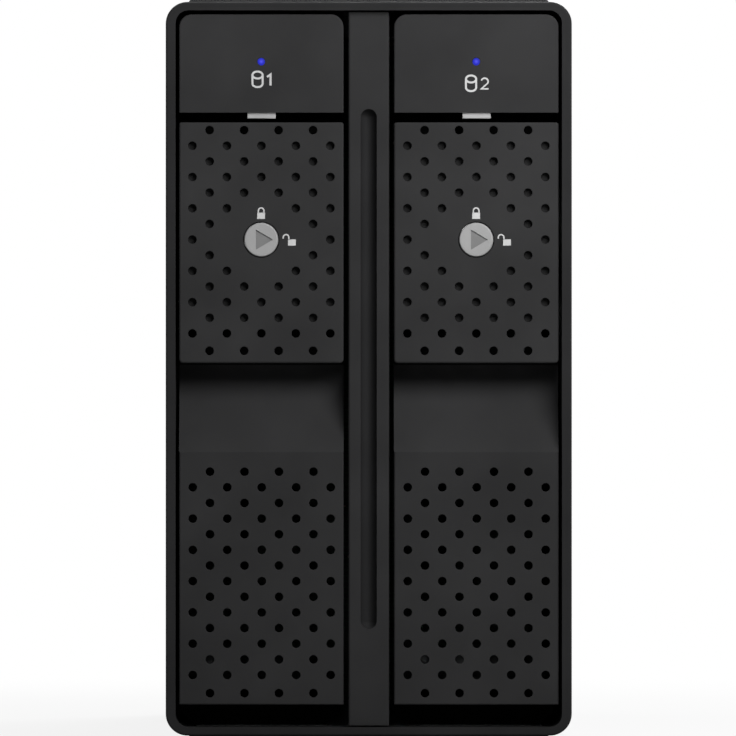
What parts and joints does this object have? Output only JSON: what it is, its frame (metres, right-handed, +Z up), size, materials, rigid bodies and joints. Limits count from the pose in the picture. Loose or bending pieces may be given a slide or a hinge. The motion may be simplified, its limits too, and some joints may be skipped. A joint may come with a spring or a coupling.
{
  "type": "raid drive enclosure",
  "caption": "Upright black drive enclosure with removable trays, hinged perforated levers, key locks, a fan and rear ports.",
  "frame": {"origin": "on the floor under the middle of the case", "axes": "+Z up, +Y to the rear, +X to the right seen from the front"},
  "size_m": [0.0724, 0.21, 0.1337],
  "materials": {
    "black_moulding": "fine satin texture",
    "bezel_black": "smooth satin",
    "sleeve_black": "fine black powder coat on aluminium",
    "galvanised_steel": "zinc plated sheet",
    "dark_steel": "black painted sheet",
    "zinc_silver": "satin plated zinc",
    "spring_steel": "bright",
    "clear_pipe": "clear acrylic",
    "board_green": "solder resist",
    "connector_black": "moulded",
    "chip_black": "moulded epoxy",
    "fin_aluminium": "extruded",
    "brass_post": "turned",
    "led_white": "clear epoxy",
    "screw_black": "black zinc",
    "fan_black": "moulded",
    "foot_rubber": "soft",
    "port_steel": "plated shell",
    "button_grey": "moulded"
  },
  "bodies": {
    "enclosure": {"front_bezel": "bezel_black", "center_column": "black_moulding", "outer_sleeve": "sleeve_black", "cage_floor": "galvanised_steel", "cage_roof": "galvanised_steel", "cage_divider": "connector_black", "lower_guides": "connector_black", "upper_guides": "connector_black", "backplane_board": "board_green", "main_board": "board_green", "status_leds": "led_white", "board_standoffs": "brass_post", "board_connector": "connector_black", "controller_chip": "chip_black", "heat_sink": "fin_aluminium", "usb_c_port": "port_steel", "dc_jack": "connector_black", "power_switch": "connector_black", "mode_switch": "connector_black", "set_switch": "connector_black", "rear_panel": "black_moulding", "fan_frame": "fan_black", "fan_screws": "screw_black", "rear_panel_screws": "screw_black", "rubber_feet": "foot_rubber", "drive_connector_1": "connector_black", "drive_connector_2": "connector_black"},
    "fan": {"fan_rotor": "fan_black"},
    "power_button": {"power_button": "button_grey"},
    "set_button": {"set_button": "button_grey"},
    "mode_dial": {"mode_dial": "button_grey"},
    "tray_1": {"tray_1_front": "black_moulding", "tray_1_carrier": "dark_steel", "tray_1_light_pipe": "clear_pipe", "tray_1_hinge_pins": "spring_steel", "tray_1_screws": "screw_black", "tray_1_latch_spring": "spring_steel"},
    "lever_1": {"lever_1_handle": "black_moulding", "lever_1_back_plate": "dark_steel"},
    "latch_1": {"latch_1_slider": "zinc_silver"},
    "lock_1": {"lock_1_core": "zinc_silver", "lock_1_cam": "galvanised_steel"},
    "tray_2": {"tray_2_front": "black_moulding", "tray_2_carrier": "dark_steel", "tray_2_light_pipe": "clear_pipe", "tray_2_hinge_pins": "spring_steel", "tray_2_screws": "screw_black", "tray_2_latch_spring": "spring_steel"},
    "lever_2": {"lever_2_handle": "black_moulding", "lever_2_back_plate": "dark_steel"},
    "latch_2": {"latch_2_slider": "zinc_silver"},
    "lock_2": {"lock_2_core": "zinc_silver", "lock_2_cam": "galvanised_steel"}
  },
  "joints": [
    {"name": "tray_1_slide", "type": "slide", "parent": "enclosure", "child": "tray_1", "axis": [0, -1, 0], "range_m": [0, 0.175]},
    {"name": "lever_1_hinge", "type": "hinge", "parent": "tray_1", "child": "lever_1", "pos_m": [-0.0192, -0.1003, 0.0707], "axis": [1, 0, 0], "range_deg": [0, 80]},
    {"name": "latch_1_slide", "type": "slide", "parent": "tray_1", "child": "latch_1", "axis": [0, 0, 1], "range_m": [0, 0.0011], "stiffness_N_per_m": 600, "springref_m": -0.001, "deforming": ["tray_1_latch_spring"]},
    {"name": "lock_1_turn", "type": "hinge", "parent": "lever_1", "child": "lock_1", "pos_m": [-0.0192, -0.1042, 0.09055], "axis": [0, -1, 0], "range_deg": [0, 90]},
    {"name": "tray_2_slide", "type": "slide", "parent": "enclosure", "child": "tray_2", "axis": [0, -1, 0], "range_m": [0, 0.175]},
    {"name": "lever_2_hinge", "type": "hinge", "parent": "tray_2", "child": "lever_2", "pos_m": [0.0192, -0.1003, 0.0707], "axis": [1, 0, 0], "range_deg": [0, 80]},
    {"name": "latch_2_slide", "type": "slide", "parent": "tray_2", "child": "latch_2", "axis": [0, 0, 1], "range_m": [0, 0.0011], "stiffness_N_per_m": 600, "springref_m": -0.001, "deforming": ["tray_2_latch_spring"]},
    {"name": "lock_2_turn", "type": "hinge", "parent": "lever_2", "child": "lock_2", "pos_m": [0.0192, -0.1042, 0.09055], "axis": [0, -1, 0], "range_deg": [0, 90]},
    {"name": "fan_spin", "type": "hinge", "parent": "enclosure", "child": "fan", "pos_m": [0, 0.095, 0.09], "axis": [0, 1, 0], "continuous": true},
    {"name": "power_button_press", "type": "slide", "parent": "enclosure", "child": "power_button", "axis": [0, -1, 0], "range_m": [0, 0.0012], "stiffness_N_per_m": 900, "springref_m": -0.001},
    {"name": "set_button_press", "type": "slide", "parent": "enclosure", "child": "set_button", "axis": [0, -1, 0], "range_m": [0, 0.0008], "stiffness_N_per_m": 600, "springref_m": -0.001},
    {"name": "mode_dial_turn", "type": "hinge", "parent": "enclosure", "child": "mode_dial", "pos_m": [0.0125, 0.105, 0.023], "axis": [0, 1, 0], "range_deg": [0, 270]}
  ]
}
